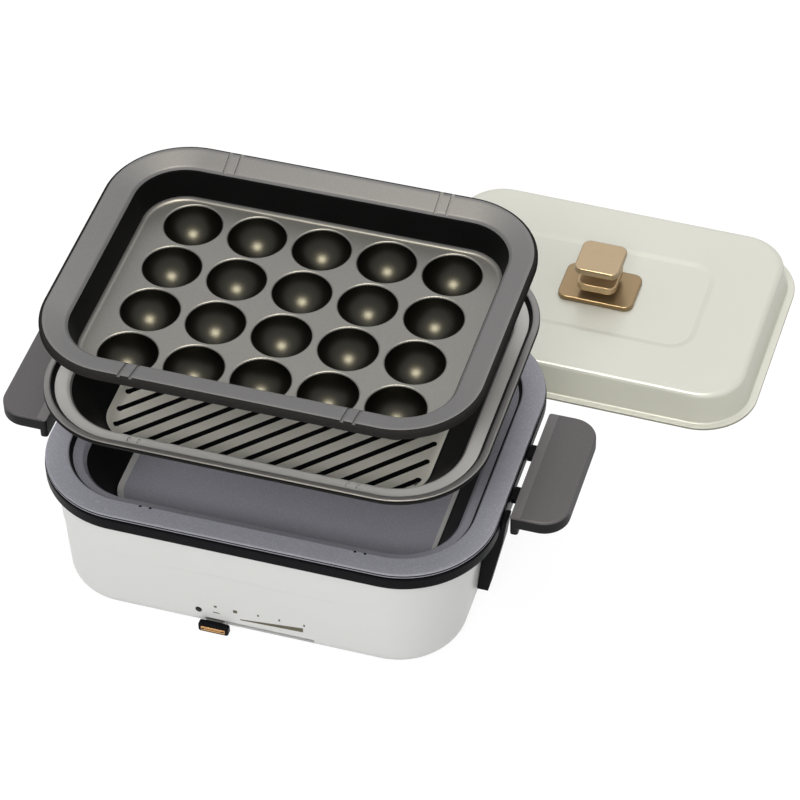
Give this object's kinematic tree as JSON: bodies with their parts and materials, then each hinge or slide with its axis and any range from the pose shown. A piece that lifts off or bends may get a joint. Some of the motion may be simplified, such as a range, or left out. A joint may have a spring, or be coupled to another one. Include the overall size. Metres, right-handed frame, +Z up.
{
  "type": "electric hot plate",
  "caption": "Tabletop electric hot plate: cream base with side handles and a sliding temperature lever, deep pan, ribbed grill plate, dimpled takoyaki plate and a separate lid with a knob.",
  "frame": {"origin": "centre of the whole set's footprint on the table, at table height", "axes": "+Z up, +X to the user's right along the long side of the base, -Y towards the user, the lever's side"},
  "size_m": [0.486, 0.4816, 0.221],
  "materials": {
    "cream_paint": "satin cream paint on pressed steel",
    "lid_enamel": "satin cream enamel",
    "black_resin": "black heat-resistant resin",
    "handle_resin": "dark grey heat-resistant resin",
    "dark_coating": "dark grey non-stick coating on cast aluminium",
    "pan_coating": "speckled dark grey non-stick coating on cast aluminium",
    "steel_sheet": "plain steel",
    "element_sheath": "heat-darkened steel sheath",
    "foot_rubber": "dark rubber",
    "terminal_ceramic": "off-white ceramic",
    "contact_brass": "plain brass",
    "knob_bronze": "satin pale bronze plating",
    "lever_copper": "satin copper plating",
    "inner_moulding": "grey-brown moulding",
    "lamp_lens": "dark red lens",
    "lead_sleeve": "woven heat-proof sleeve"
  },
  "bodies": {
    "base": {"casing": "cream_paint", "guard_ring": "black_resin", "bottom_cover": "black_resin", "heat_shield": "steel_sheet", "heating_element": "element_sheath", "terminal_block": "terminal_ceramic", "fuse_clip": "steel_sheet", "thermal_fuse": "terminal_ceramic", "thermostat_body": "inner_moulding", "sensor_spring": "steel_sheet", "slider_guide": "steel_sheet", "lamp_lens": "lamp_lens", "lamp_holder": "inner_moulding", "inlet_housing": "black_resin", "inlet_socket": "inner_moulding", "inlet_pin_front": "contact_brass", "inlet_pin_back": "contact_brass", "handle_left": "handle_resin", "handle_right": "handle_resin", "foot_front_left": "foot_rubber", "tray_post_front_left": "steel_sheet", "cover_screw_front_left": "steel_sheet", "element_clip_front_left": "steel_sheet", "foot_back_left": "foot_rubber", "tray_post_back_left": "steel_sheet", "cover_screw_back_left": "steel_sheet", "element_clip_back_left": "steel_sheet", "foot_front_right": "foot_rubber", "tray_post_front_right": "steel_sheet", "cover_screw_front_right": "steel_sheet", "element_clip_front_right": "steel_sheet", "foot_back_right": "foot_rubber", "tray_post_back_right": "steel_sheet", "cover_screw_back_right": "steel_sheet", "element_clip_back_right": "steel_sheet", "handle_arm_left_front": "black_resin", "handle_arm_left_back": "black_resin", "handle_arm_right_front": "black_resin", "handle_arm_right_back": "black_resin", "lead_inlet_fuse": "lead_sleeve", "lead_fuse_terminal": "lead_sleeve", "lead_inlet_thermostat": "lead_sleeve", "lead_thermostat_terminal": "lead_sleeve", "lead_lamp": "lead_sleeve"},
    "deep_pan": {"deep_pan": "pan_coating"},
    "grill_plate": {"grill_plate": "dark_coating"},
    "takoyaki_plate": {"takoyaki_plate": "dark_coating"},
    "lid": {"lid_shell": "lid_enamel", "knob_base": "knob_bronze", "knob_stem": "knob_bronze", "knob_grip": "knob_bronze", "knob_washer": "steel_sheet", "knob_screw": "steel_sheet"},
    "lever": {"slider_rack": "inner_moulding", "lever_arm": "steel_sheet", "lever_knob": "black_resin", "lever_inlay": "lever_copper"},
    "pinion": {"thermostat_pinion": "inner_moulding"},
    "sensor": {"sensor_plunger": "steel_sheet"}
  },
  "joints": [
    {"name": "deep_pan_lift", "type": "slide", "parent": "base", "child": "deep_pan", "axis": [0, 0, 1], "range_m": [0, 0.06]},
    {"name": "grill_plate_lift", "type": "slide", "parent": "deep_pan", "child": "grill_plate", "axis": [0, 0, 1], "range_m": [0, 0.06]},
    {"name": "takoyaki_plate_lift", "type": "slide", "parent": "grill_plate", "child": "takoyaki_plate", "axis": [0, 0, 1], "range_m": [0, 0.06]},
    {"name": "lid_lift", "type": "slide", "parent": "base", "child": "lid", "axis": [0, 0, 1], "range_m": [0, 0.06]},
    {"name": "temperature_slide", "type": "slide", "parent": "base", "child": "lever", "axis": [1, 0, 0], "range_m": [0, 0.0632]},
    {"name": "thermostat_spindle", "type": "hinge", "parent": "base", "child": "pinion", "pos_m": [-0.03249, -0.19475, 0.0095], "axis": [0, 0, 1], "range_deg": [0, 268.3]},
    {"name": "sensor_press", "type": "slide", "parent": "base", "child": "sensor", "axis": [0, 0, 1], "range_m": [-0.003, 0], "stiffness_N_per_m": 300, "springref_m": 0.002, "deforming": ["sensor_spring"]}
  ],
  "couplings": [
    {"joint": "thermostat_spindle", "follows": "temperature_slide", "rad_per_m": 74.074}
  ]
}
